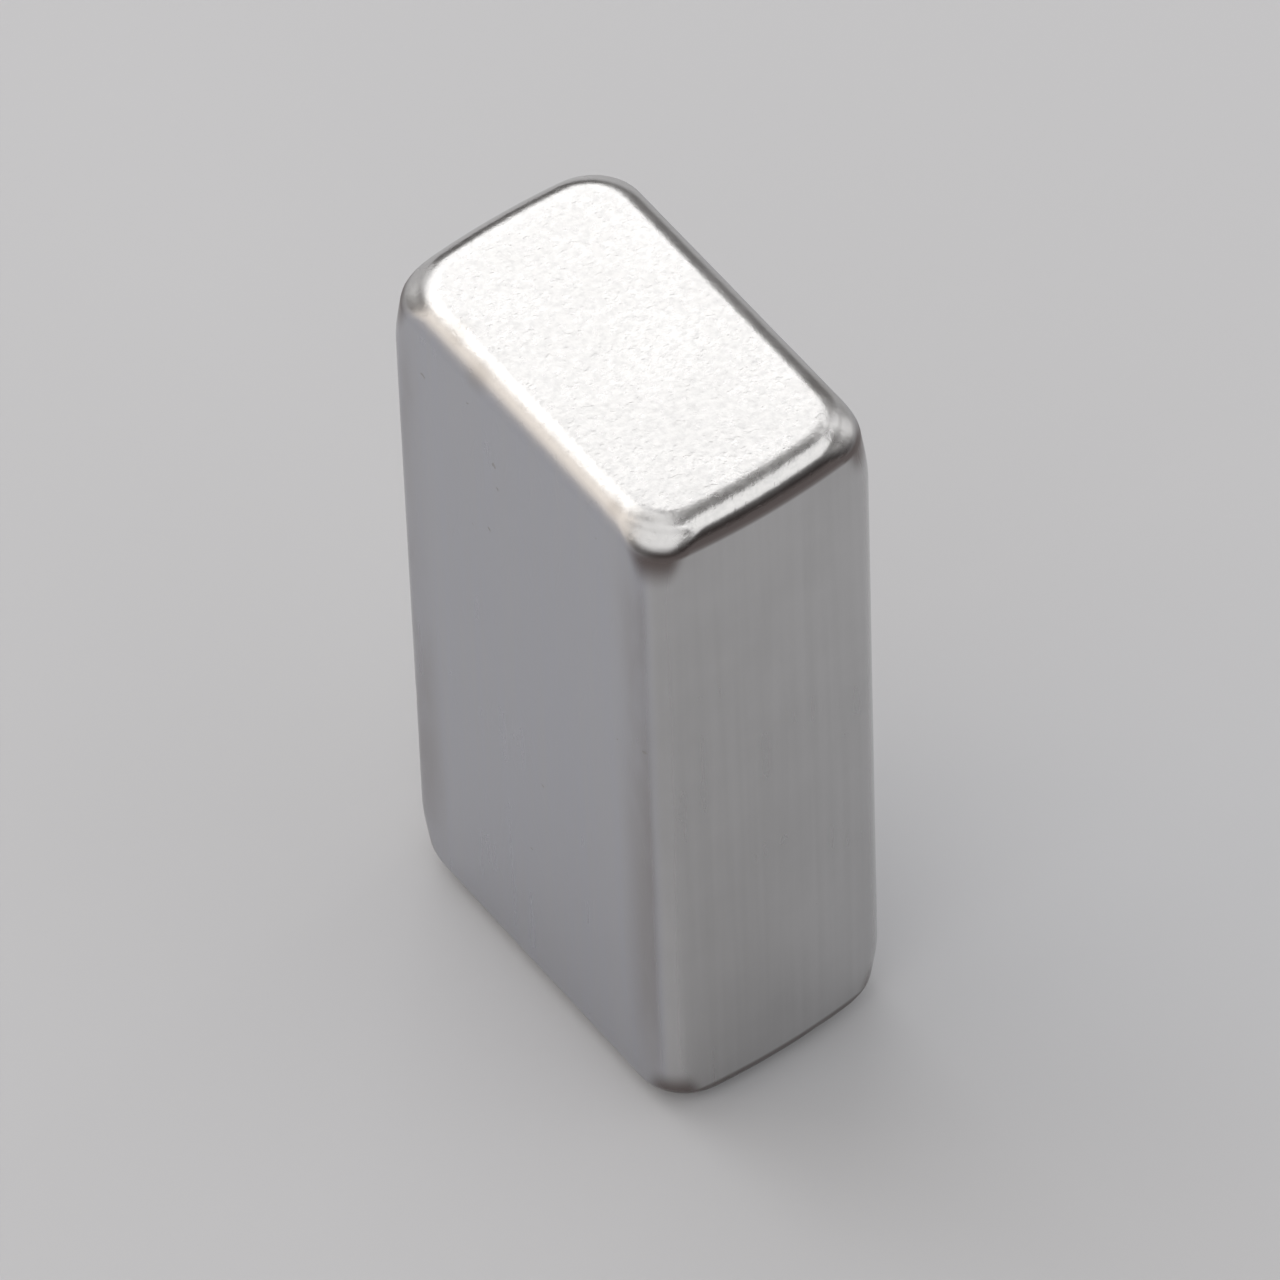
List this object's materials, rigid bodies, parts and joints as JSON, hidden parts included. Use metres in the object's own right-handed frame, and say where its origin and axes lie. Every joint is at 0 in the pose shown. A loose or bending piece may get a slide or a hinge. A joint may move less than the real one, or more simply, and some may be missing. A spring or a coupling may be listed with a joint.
{
  "type": "block magnet",
  "caption": "Plated rectangular block magnet with tumbled round edges, to be held by its poles on steel or set in a pocket.",
  "frame": {"origin": "centre of the end face that the block stands on", "axes": "+Z along the block's length, +Y across its width, +X through its thickness, from one pole face to the other"},
  "size_m": [0.003, 0.005, 0.01],
  "materials": {
    "nickel_plating": "satin nickel plate over a sintered and tumbled block: fine grain on the end faces, smoother on the sides"
  },
  "bodies": {
    "root": {"block_magnet": "nickel_plating"}
  },
  "joints": []
}
